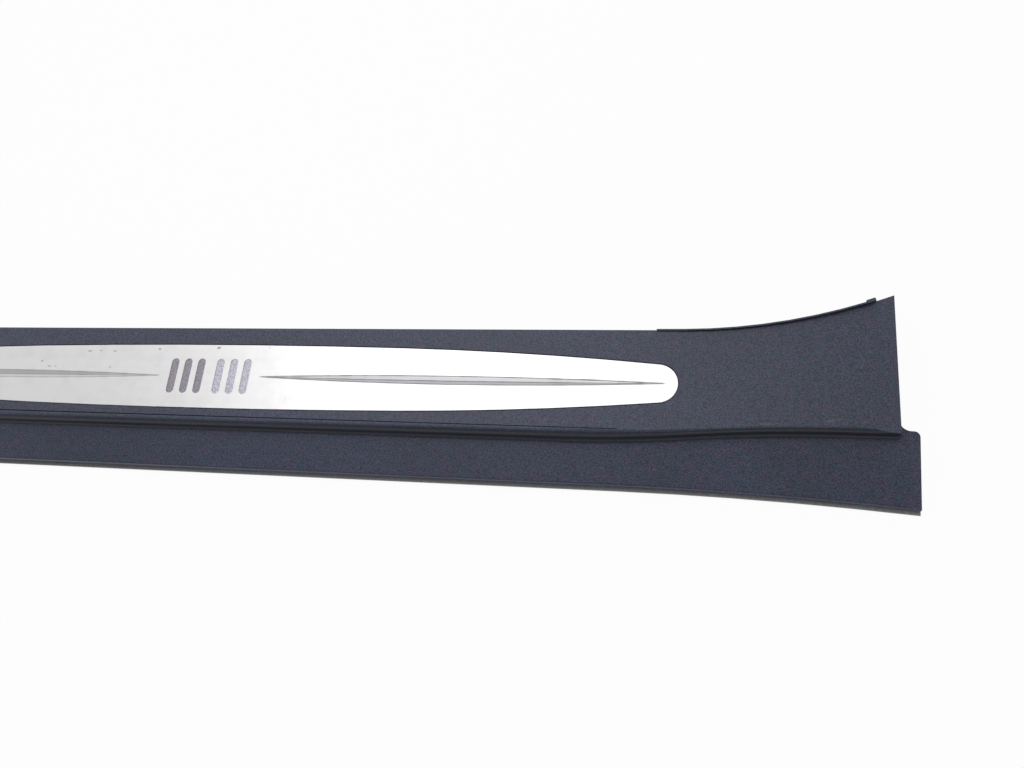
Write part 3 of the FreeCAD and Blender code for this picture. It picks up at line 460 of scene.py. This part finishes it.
def moulding_material(sizes, colours):
    """Grained charcoal plastic with a slight sheen and light scuffs, painted shade on the steep riser and
    painted light along the foot of the outer skirt.
    """
    material, tree, surface = new_material("charcoal_moulding")
    group = shared_group("fine_grain", fine_grain_group)
    grain = use_group(tree, group, (-1100, 0), Spacing=sizes.grain)
    tinge = ramp(tree, grain.outputs["Patches"], 0.30, 0.70, (-900, 300))
    colour = mix_colour(tree, tinge, tuple(colours.moulding), tuple(colours.moulding_warm), (-700, 300))
    fleck = ramp(tree, grain.outputs["Speckle"], 0.25, 0.75, (-900, 100))
    shade = mix_colour(tree, fleck, *SPECKLE_SHADE, (-700, 100))
    slow = ramp(tree, grain.outputs["Mottle"], 0.35, 0.65, (-900, -50))
    drift = mix_colour(tree, slow, *MOTTLE_SHADE, (-700, -50))
    grained = times(tree, times(tree, colour, shade, (-500, 200)), drift, (-350, 150))

    where = shader(tree, "ShaderNodeTexCoord", (-1300, 600))
    parts = shader(tree, "ShaderNodeSeparateXYZ", (-1100, 600))
    tree.links.new(where.outputs["Object"], parts.inputs[0])
    # Painted light along the foot of the outer skirt: low, outer, upward-facing faces take a pale colour,
    # broken up by the speckle.
    low = ramp(tree, parts.outputs["Z"], *RIM_HEIGHT, (-900, 700))
    outside = ramp(tree, parts.outputs["Y"], *RIM_SIDE, (-900, 550))
    faces = shader(tree, "ShaderNodeNewGeometry", (-1300, 900))
    lean = shader(tree, "ShaderNodeSeparateXYZ", (-1100, 900))
    tree.links.new(faces.outputs["Normal"], lean.inputs[0])
    upward = ramp(tree, lean.outputs["Z"], *NOT_BELOW, (-900, 900))
    painted_light = product(tree, (-700, 600), low, outside, upward)
    uneven = mix_colour(tree, fleck, scaled(colours.rim_painted_light, 0.75), scaled(colours.rim_painted_light, 1.25), (-500, 450))
    colour = mix_colour(tree, painted_light, grained, uneven, (-200, 200))
    # Painted shade: steep faces that lean outwards above the outer band take the dark riser colour.
    steep = ramp(tree, lean.outputs["Y"], *RISER_LEAN, (-900, 1100))
    raised = ramp(tree, parts.outputs["Z"], *RISER_HEIGHT, (-900, 1250))
    riser = product(tree, (-700, 1100), steep, raised, RISER_SHADE_STRENGTH)
    colour = mix_colour(tree, riser, colour, tuple(colours.riser), (-100, 200))
    colour = mix_colour(tree, patches(tree, SCUFFS), colour, tuple(colours.scuff), (50, 200))
    tree.links.new(colour, surface.inputs["Base Color"])

    rough = shader(tree, "ShaderNodeMapRange", (-500, -350))
    rough.inputs["To Min"].default_value = 0.42
    rough.inputs["To Max"].default_value = 0.52
    tree.links.new(grain.outputs["Mottle"], rough.inputs["Value"])
    tree.links.new(rough.outputs["Result"], surface.inputs["Roughness"])
    bump(tree, grain.outputs["Height"], 0.8, sizes.grain_depth, surface.inputs["Normal"])
    surface.location = (300, 200)
    tree.nodes["Material Output"].location = (600, 200)
    return material


def spear_lines(tree, parts, place):
    """Distances to a groove's inner edge, crease and outer edge, and how full the groove is there."""
    x, y = place
    reach = calculate(tree, "ABSOLUTE", parts.outputs["X"], None, (x, y))
    along = calculate(tree, "SUBTRACT", reach, SPEAR_MIDDLE, (x + 150, y))
    share = calculate(tree, "DIVIDE", along, SPEAR_HALF, (x + 300, y))
    square = calculate(tree, "MULTIPLY", share, share, (x + 450, y))
    full = calculate(tree, "SUBTRACT", 1.0, square, (x + 600, y))
    full = calculate(tree, "MAXIMUM", full, 0.0, (x + 750, y))
    lines = []
    for row, bow in enumerate(SPEAR_BOWS):
        line = calculate(tree, "MULTIPLY", full, bow, (x + 900, y - 200 * row))
        aside = calculate(tree, "SUBTRACT", parts.outputs["Y"], line, (x + 1050, y - 200 * row))
        lines.append(calculate(tree, "ABSOLUTE", aside, None, (x + 1200, y - 200 * row)))
    return lines, full


def plate_material(sizes, colours):
    """Brushed aluminium with coined grooves, etched tread bars, fine scratches and dirty specks; grime and
    painted shade along the grooves' edges and crease, and painted shade on their outer sides.
    """
    material, tree, surface = new_material("brushed_plate")
    group = shared_group("brushed_lines", brushed_group)
    lines = use_group(tree, group, (-1300, 0), Spacing=sizes.brush_pitch)
    cloud = ramp(tree, lines.outputs["Cloud"], 0.25, 0.75, (-1100, 200))
    bright = tuple(colours.plate)
    colour = mix_colour(tree, cloud, scaled(bright, 0.97), bright, (-900, 200))
    streak = ramp(tree, lines.outputs["Streak"], 0.35, 0.65, (-1100, 50))
    shade = mix_colour(tree, streak, *STREAK_SHADE, (-900, 50))
    smudge = ramp(tree, lines.outputs["Smudge"], 0.30, 0.60, (-1100, -100))
    film = mix_colour(tree, smudge, *SMUDGE_SHADE, (-900, -100))
    brushed = times(tree, times(tree, colour, shade, (-700, 100)), film, (-550, 50))

    where = shader(tree, "ShaderNodeTexCoord", (-1900, 700))
    parts = shader(tree, "ShaderNodeSeparateXYZ", (-1700, 700))
    tree.links.new(where.outputs["Object"], parts.inputs[0])
    depth = calculate(tree, "SUBTRACT", PLATE_TOP, parts.outputs["Z"], (-1500, 700))
    reach = calculate(tree, "ABSOLUTE", parts.outputs["X"], None, (-1500, 900))
    in_bars = ramp(tree, reach, *BAR_REACH, (-1300, 900))
    upper_face = ramp(tree, depth, *FACE_DEPTH, (-1300, 1100))
    edges, full = spear_lines(tree, parts, (-3000, 1500))
    wander = ramp(tree, lines.outputs["Smudge"], 0.35, 0.60, (-1300, 1300))
    # Grime and painted shade along each groove's edges and crease.
    groove_grime_and_shade = None
    for row, (line, (wide, least, most)) in enumerate(zip(edges, GROOVE_GRIME_AND_SHADE)):
        height = 1500 + 200 * row
        near = ramp(tree, line, wide, wide * 0.35, (-1300, height))
        level = shader(tree, "ShaderNodeMapRange", (-1100, height))
        level.inputs["To Min"].default_value = most
        level.inputs["To Max"].default_value = least
        tree.links.new(wander, level.inputs["Value"])
        near = calculate(tree, "MULTIPLY", near, level.outputs["Result"], (-900, height))
        groove_grime_and_shade = near if groove_grime_and_shade is None else calculate(tree, "MAXIMUM", groove_grime_and_shade, near, (-700, height))
    right_end = ramp(tree, parts.outputs["X"], -0.10, 0.12, (-900, 1300))
    right_end = calculate(tree, "MULTIPLY", right_end, 1 - LEFT_GROOVE_SHARE, (-750, 1300))
    groove_strength = calculate(tree, "ADD", right_end, LEFT_GROOVE_SHARE, (-600, 1300))
    inside = ramp(tree, full, 0.0, 0.05, (-900, 1100))
    on_spear = product(tree, (-700, 1100), inside, upper_face, groove_strength)
    # Painted shade on the outer side of each groove, weaker on its inner side.
    below = calculate(tree, "MULTIPLY", full, SPEAR_BOWS[1], (-1700, 1900))
    below = calculate(tree, "SUBTRACT", below, parts.outputs["Y"], (-1500, 1900))
    outer_side = ramp(tree, below, -0.0001, 0.0003, (-1300, 1900))
    sunk = ramp(tree, depth, *GROOVE_DEPTH, (-1500, 500))
    flank_shade = product(tree, (-1100, 1900), outer_side, sunk, on_spear)
    colour = mix_colour(tree, flank_shade, brushed, tuple(colours.flank_shade), (-450, 300))
    groove = calculate(tree, "MULTIPLY", sunk, on_spear, (-1100, 2100))
    upper_flank = calculate(tree, "SUBTRACT", groove, flank_shade, (-900, 2100))
    upper_flank = calculate(tree, "MULTIPLY", upper_flank, UPPER_FLANK_SHADE, (-700, 2100))
    colour = mix_colour(tree, upper_flank, colour, tuple(colours.flank_shade), (-380, 300))
    groove_grime_and_shade = calculate(tree, "MULTIPLY", groove_grime_and_shade, on_spear, (-500, 1300))
    colour = mix_colour(tree, groove_grime_and_shade, colour, tuple(colours.groove), (-300, 300))

    etched = ramp(tree, depth, *ETCH_DEPTH, (-1300, -700))
    etched = calculate(tree, "MULTIPLY", etched, in_bars, (-1100, -700))
    bite = shader(tree, "ShaderNodeTexNoise", (-1500, -900))
    bite.inputs["Scale"].default_value = 620.0
    bite.inputs["Detail"].default_value = 4.0
    tree.links.new(where.outputs["Object"], bite.inputs["Vector"])
    patchy = ramp(tree, bite.outputs["Fac"], 0.36, 0.64, (-1300, -900))
    right_half = ramp(tree, parts.outputs["X"], -0.001, 0.001, (-1300, -1100))
    dark, light = (mix_colour(tree, patchy, scaled(tone, 0.80), scaled(tone, 1.14), (-1100, y))
                   for tone, y in ((colours.etched_dark, -900), (colours.etched_light, -1100)))
    floor = mix_colour(tree, right_half, dark, light, (-900, -1000))
    colour = mix_colour(tree, etched, colour, floor, (-100, 300))
    wall_in = ramp(tree, depth, *WALL_TOP, (-1300, -1300))
    wall_out = ramp(tree, depth, *WALL_FOOT, (-1300, -1450))
    wall = product(tree, (-1100, -1300), wall_in, wall_out, in_bars)
    colour = mix_colour(tree, wall, colour, WALL_COLOUR, (50, 300))

    specks = calculate(tree, "MULTIPLY", patches(tree, SPECKS, (-2300, -600)), SPECK_STRENGTH, (50, -200))
    colour = mix_colour(tree, specks, colour, tuple(colours.grime), (200, 300))
    lines_across = patches(tree, SCRATCHES, (-2800, -600))
    scratches = calculate(tree, "MULTIPLY", lines_across, SCRATCH_STRENGTH, (50, -400))
    colour = mix_colour(tree, scratches, colour, SCRATCH_COLOUR, (350, 300))
    tree.links.new(colour, surface.inputs["Base Color"])

    metal = calculate(tree, "SUBTRACT", 1.0, specks, (350, 100))
    tree.links.new(metal, surface.inputs["Metallic"])
    rough = shader(tree, "ShaderNodeMapRange", (200, 0))
    rough.inputs["To Min"].default_value = 0.32
    rough.inputs["To Max"].default_value = 0.37
    tree.links.new(lines.outputs["Streak"], rough.inputs["Value"])
    matt = calculate(tree, "MAXIMUM", etched, specks, (200, -700))
    matt = calculate(tree, "MULTIPLY", matt, 0.35, (350, -700))
    roughness = calculate(tree, "ADD", rough.outputs["Result"], matt, (500, 0))
    tree.links.new(roughness, surface.inputs["Roughness"])
    bump(tree, lines.outputs["Height"], 0.3, 0.00002, surface.inputs["Normal"])
    surface.location = (700, 300)
    tree.nodes["Material Output"].location = (1000, 300)
    return material


def plain_material(name, colour, roughness, grain=0.0008, depth=0.00003):
    """Plain plastic or foam with a fine grain."""
    material, tree, surface = new_material(name)
    group = shared_group("fine_grain", fine_grain_group)
    pattern = use_group(tree, group, (-700, 0), Spacing=grain)
    mottle = ramp(tree, pattern.outputs["Mottle"], 0.3, 0.7, (-450, 200))
    shade = mix_colour(tree, mottle, scaled(colour, 0.85), scaled(colour, 1.1), (-200, 200))
    tree.links.new(shade, surface.inputs["Base Color"])
    surface.inputs["Roughness"].default_value = roughness
    bump(tree, pattern.outputs["Height"], 0.5, depth, surface.inputs["Normal"])
    return material


def foam_material(name, colour, cell, depth):
    """Foam: small round cells as bump, with painted shade darkening their pits."""
    material, tree, surface = new_material(name)
    where = shader(tree, "ShaderNodeTexCoord", (-900, 100))
    cells = shader(tree, "ShaderNodeTexVoronoi", (-700, 100), feature="F1")
    cells.inputs["Scale"].default_value = 1.0 / cell
    tree.links.new(where.outputs["Object"], cells.inputs["Vector"])
    # Painted shade in the pits of the cells.
    pits = ramp(tree, cells.outputs["Distance"], 0.15, 0.65, (-450, 100))
    shade = mix_colour(tree, pits, scaled(colour, 0.35), scaled(colour, 1.5), (-200, 200))
    tree.links.new(shade, surface.inputs["Base Color"])
    surface.inputs["Roughness"].default_value = 0.95
    bump(tree, pits, 0.8, depth, surface.inputs["Normal"])
    return material


def dress(piece, material):
    """Gives a piece one material in place of what it had."""
    piece.data.materials.clear()
    piece.data.materials.append(material)


# Operators, one for each piece or group of like pieces

class SILL_OT_moulding(bpy.types.Operator):
    """Finish the grained moulding"""

    bl_idname = "sill.moulding"
    bl_label = "Moulding"

    def execute(self, context):
        scene = context.scene
        dress(NODES["sill_carrier"], moulding_material(scene.sill_sizes, scene.sill_colours))
        return {"FINISHED"}


class SILL_OT_plate(bpy.types.Operator):
    """Finish the bright step plate"""

    bl_idname = "sill.plate"
    bl_label = "Bright plate"

    def execute(self, context):
        scene = context.scene
        dress(NODES["trim_plate"], plate_material(scene.sill_sizes, scene.sill_colours))
        return {"FINISHED"}


class SILL_OT_fasteners(bpy.types.Operator):
    """Finish the clips and the tapes below the plate"""

    bl_idname = "sill.fasteners"
    bl_label = "Clips and tapes"

    def execute(self, context):
        colours = context.scene.sill_colours
        nylon = plain_material("natural_nylon", tuple(colours.nylon), 0.4)
        tape = plain_material("adhesive_tape", tuple(colours.tape), 0.8)
        for names, material in ((CLIPS, nylon), (TAPES, tape)):
            for name in names:
                dress(NODES[name], material)
        return {"FINISHED"}


def select_only(piece):
    """Makes one object the only selected and active one."""
    bpy.ops.object.select_all(action="DESELECT")
    piece.select_set(True)
    bpy.context.view_layer.objects.active = piece


def pick(piece, test):
    """In edit mode, selects the vertices whose place passes a test."""
    bpy.ops.object.mode_set(mode="EDIT")
    bpy.ops.mesh.select_mode(type="VERT")
    bpy.ops.mesh.select_all(action="DESELECT")
    bpy.ops.object.mode_set(mode="OBJECT")
    for vertex in piece.data.vertices:
        vertex.select = test(vertex.co)
    bpy.ops.object.mode_set(mode="EDIT")


def finish_mesh():
    """Turns the active object's faces outwards and smooths all but its sharp edges."""
    bpy.ops.object.mode_set(mode="EDIT")
    bpy.ops.mesh.select_all(action="SELECT")
    bpy.ops.mesh.remove_doubles(threshold=0.00001)
    bpy.ops.mesh.normals_make_consistent(inside=False)
    bpy.ops.object.mode_set(mode="OBJECT")
    bpy.ops.object.shade_smooth_by_angle(angle=math.radians(40))


def copy_to(piece, name, shift):
    """Copy with a mesh of its own, with its place in its mesh."""
    twin = piece.copy()
    twin.data = piece.data.copy()
    twin.name = name
    twin.data.name = name
    bpy.context.collection.objects.link(twin)
    select_only(twin)
    bpy.ops.transform.translate(value=shift)
    bpy.ops.object.transform_apply(location=True, rotation=True, scale=True)
    return twin


def middle_of(name):
    """Middle of a CAD node's box."""
    low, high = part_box(name)
    return (Vector(low) + Vector(high)) / 2


class SILL_OT_pads(bpy.types.Operator):
    """Model the foam pads that fill the gap to the sill panel"""

    bl_idname = "sill.pads"
    bl_label = "Foam pads"

    def execute(self, context):
        sizes, colours = context.scene.sill_sizes, context.scene.sill_colours
        material = foam_material("open_cell_foam", tuple(colours.foam), sizes.foam_cell, 0.0007)
        first = self.model(sizes)
        for name in PADS:
            shift = middle_of(name) - middle_of(PADS[0])
            pad = copy_to(first, "modelled_" + name, shift)
            dress(pad, material)
            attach(pad, BODY)
            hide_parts(name)
        bpy.data.objects.remove(first)
        return {"FINISHED"}

    def model(self, sizes):
        """Block cut from sheet foam: rounded cut edges and sides that pull in under its glued upper face."""
        low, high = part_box(PADS[0])
        middle = middle_of(PADS[0])
        bpy.ops.object.select_all(action="DESELECT")
        bpy.ops.mesh.primitive_cube_add(size=1.0, location=middle)
        pad = bpy.context.object
        pad.name = "foam_block"
        bpy.ops.transform.resize(value=Vector(high) - Vector(low))
        bpy.ops.object.transform_apply(location=True, rotation=True, scale=True)
        bpy.ops.object.mode_set(mode="EDIT")
        bpy.ops.mesh.select_all(action="SELECT")
        bpy.ops.mesh.subdivide(number_cuts=5)
        for level, share in PAD_WAIST:
            height = middle.z + level * (high.z - low.z) / 2
            pick(pad, lambda place: abs(place.z - height) < LEVEL_SLACK)
            pull = 2 * sizes.pad_waist * share
            narrower = (1 - pull / (high.x - low.x), 1 - pull / (high.y - low.y), 1.0)
            bpy.ops.transform.resize(value=narrower, center_override=middle)
        bpy.ops.object.mode_set(mode="OBJECT")
        edges = pad.modifiers.new("cut_edges", "BEVEL")
        edges.width = sizes.pad_round
        edges.segments = 3
        edges.limit_method = "ANGLE"
        edges.angle_limit = math.radians(45)
        soft = pad.modifiers.new("soft_sides", "SUBSURF")
        soft.levels = 1
        soft.render_levels = 1
        for modifier in ("cut_edges", "soft_sides"):
            bpy.ops.object.modifier_apply(modifier=modifier)
        finish_mesh()
        return pad


class SILL_OT_washers(bpy.types.Operator):
    """Model the foam washers below the clips' collars"""

    bl_idname = "sill.washers"
    bl_label = "Foam washers"

    def execute(self, context):
        sizes, colours = context.scene.sill_sizes, context.scene.sill_colours
        material = foam_material("closed_cell_foam", scaled(colours.foam, 0.8), 0.0006, 0.0001)
        first = self.model(sizes)
        for name in SEALS:
            shift = middle_of(name) - middle_of(SEALS[0])
            washer = copy_to(first, "modelled_" + name, shift)
            dress(washer, material)
            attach(washer, BODY)
            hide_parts(name)
        bpy.data.objects.remove(first)
        return {"FINISHED"}

    def model(self, sizes):
        """Round washer with softened edges and a square hole for the clip's shank."""
        low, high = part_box(SEALS[0])
        middle = middle_of(SEALS[0])
        radius = (high.x - low.x) / 2
        bpy.ops.object.select_all(action="DESELECT")
        bpy.ops.mesh.primitive_cylinder_add(
            vertices=48, radius=radius, depth=high.z - low.z, location=middle)
        washer = bpy.context.object
        washer.name = "foam_ring"
        bpy.ops.object.transform_apply(location=True, rotation=True, scale=True)
        edges = washer.modifiers.new("soft_rim", "BEVEL")
        edges.width = sizes.washer_round
        edges.segments = 3
        edges.limit_method = "ANGLE"
        edges.angle_limit = math.radians(60)
        bpy.ops.object.modifier_apply(modifier="soft_rim")
        bpy.ops.object.select_all(action="DESELECT")
        bpy.ops.mesh.primitive_cube_add(size=1.0, location=middle)
        hole = bpy.context.object
        bpy.ops.transform.resize(value=(WASHER_HOLE, WASHER_HOLE, 0.02))
        bpy.ops.object.transform_apply(location=True, rotation=True, scale=True)
        select_only(washer)
        opening = washer.modifiers.new("square_hole", "BOOLEAN")
        opening.operation = "DIFFERENCE"
        opening.object = hole
        bpy.ops.object.modifier_apply(modifier="square_hole")
        bpy.data.objects.remove(hole)
        select_only(washer)
        finish_mesh()
        return washer


class SILL_OT_stage(bpy.types.Operator):
    """Lay the pale floor, set the soft lights and the camera"""

    bl_idname = "sill.stage"
    bl_label = "Studio"

    def execute(self, context):
        scene = context.scene
        lay_floor(scene)
        light_world(scene)
        hang_lamp(scene)
        place_camera(scene)
        scene.view_settings.view_transform = "Standard"
        return {"FINISHED"}


def seen_rays(tree, place):
    """Mask of the rays that show a background: camera, mirror and glass rays."""
    x, y = place
    path = shader(tree, "ShaderNodeLightPath", place)
    names = ("Is Camera Ray", "Is Glossy Ray", "Is Transmission Ray")
    camera, mirror, glass = (path.outputs[name] for name in names)
    seen = calculate(tree, "MAXIMUM", camera, mirror, (x + 200, y))
    return calculate(tree, "MAXIMUM", seen, glass, (x + 400, y))


def lay_floor(scene):
    """Pale floor that shows white and keeps a faint shadow."""
    size = scene.sill_sizes.floor
    bpy.ops.object.select_all(action="DESELECT")
    bpy.ops.mesh.primitive_plane_add(size=size, location=(0, 0, 0))
    floor = bpy.context.object
    floor.name = "studio_floor"
    material, tree, surface = new_material("pale_floor")
    surface.inputs["Base Color"].default_value = (*scene.sill_colours.floor, 1.0)
    surface.inputs["Roughness"].default_value = 0.9
    glow = shader(tree, "ShaderNodeEmission", (0, -300))
    mix = shader(tree, "ShaderNodeMixShader", (300, 0))
    share = calculate(tree, "MULTIPLY", seen_rays(tree, (-600, 300)), FLOOR_GLOW, (100, 200))
    tree.links.new(share, mix.inputs[0])
    tree.links.new(surface.outputs[0], mix.inputs[1])
    tree.links.new(glow.outputs[0], mix.inputs[2])
    tree.links.new(mix.outputs[0], tree.nodes["Material Output"].inputs["Surface"])
    dress(floor, material)


def light_world(scene):
    """Pale surroundings: white at the horizon, dull on the outer side, brighter beyond the cut end."""
    world = bpy.data.worlds.new("studio")
    scene.world = world
    world.use_nodes = True
    tree = world.node_tree
    sky = tree.nodes["Background"]
    where = shader(tree, "ShaderNodeTexCoord", (-900, 0))
    parts = shader(tree, "ShaderNodeSeparateXYZ", (-700, 0))
    tree.links.new(where.outputs["Generated"], parts.inputs[0])
    levels = []
    for row, (axis, *limits) in enumerate(WORLD_LEVELS):
        level = shader(
            tree, "ShaderNodeMapRange", (-500, -250 * row), interpolation_type="SMOOTHSTEP", clamp=True)
        for label, value in zip(("From Min", "From Max", "To Min", "To Max"), limits):
            level.inputs[label].default_value = value
        tree.links.new(parts.outputs[axis], level.inputs["Value"])
        levels.append(level.outputs["Result"])
    inner, cut_end, flared_end, low, inner_side = levels
    cut_end = calculate(tree, "MULTIPLY", cut_end, inner_side, (-300, -200))
    total = calculate(tree, "ADD", inner, cut_end, (-250, 0))
    total = calculate(tree, "ADD", total, flared_end, (-180, 0))
    horizon = shader(tree, "ShaderNodeMix", (-100, 0), data_type="FLOAT")
    tree.links.new(low, horizon.inputs["Factor"])
    tree.links.new(total, horizon.inputs["A"])
    horizon.inputs["B"].default_value = 1.0
    tree.links.new(horizon.outputs["Result"], sky.inputs["Strength"])
    sky.inputs["Color"].default_value = (1.0, 1.0, 1.0, 1.0)


def hang_lamp(scene):
    """One large soft light overhead, a little towards the inner side."""
    lamp = bpy.data.lights.new("overhead_softbox", "AREA")
    lamp.shape = "RECTANGLE"
    lamp.size, lamp.size_y = LAMP_SIZE
    lamp.energy = LAMP_POWER
    holder = bpy.data.objects.new("overhead_softbox", lamp)
    scene.collection.objects.link(holder)
    holder.location = LAMP_PLACE
    view = Vector(LAMP_AIM) - Vector(LAMP_PLACE)
    holder.rotation_euler = view.to_track_quat("-Z", "Y").to_euler()
    holder.visible_camera = False


def place_camera(scene):
    """Camera at the photograph's viewing angle, looking down on the outer half of the sill."""
    place = Vector((0.0, 0.0, PLATE_TOP)) + Vector(CAMERA_PLACE)
    right = Vector(CAMERA_RIGHT).normalized()
    back = Vector(CAMERA_BACK).normalized()
    up = back.cross(right)
    lens = bpy.data.cameras.new("view_from_outside")
    lens.sensor_width = CAMERA_SENSOR
    lens.lens = CAMERA_LENS
    holder = bpy.data.objects.new("view_from_outside", lens)
    scene.collection.objects.link(holder)
    turn = Matrix((right, up, back)).transposed()
    holder.matrix_world = Matrix.Translation(place) @ turn.to_4x4()
    scene.camera = holder


STEPS = (SILL_OT_moulding, SILL_OT_plate, SILL_OT_fasteners, SILL_OT_pads, SILL_OT_washers, SILL_OT_stage)


class SILL_PT_panel(bpy.types.Panel):
    """Lists the steps in the sidebar"""

    bl_idname = "SILL_PT_panel"
    bl_label = "Sill trim"
    bl_space_type = "VIEW_3D"
    bl_region_type = "UI"
    bl_category = "Sill trim"

    def draw(self, context):
        for group in (context.scene.sill_sizes, context.scene.sill_colours):
            for name in group.bl_rna.properties.keys():
                if name not in ("rna_type", "name"):
                    self.layout.prop(group, name)
        for step in STEPS:
            self.layout.operator(step.bl_idname)


CLASSES = (SillSizes, SillColours, *STEPS, SILL_PT_panel)


def register():
    for item in CLASSES:
        bpy.utils.register_class(item)
    bpy.types.Scene.sill_sizes = PointerProperty(type=SillSizes)
    bpy.types.Scene.sill_colours = PointerProperty(type=SillColours)


def unregister():
    del bpy.types.Scene.sill_sizes
    del bpy.types.Scene.sill_colours
    for item in reversed(CLASSES):
        bpy.utils.unregister_class(item)


def main():
    """Runs every step."""
    register()
    bpy.ops.sill.moulding()
    bpy.ops.sill.plate()
    bpy.ops.sill.fasteners()
    bpy.ops.sill.pads()
    bpy.ops.sill.washers()
    bpy.ops.sill.stage()


if __name__ == "__main__":
    main()
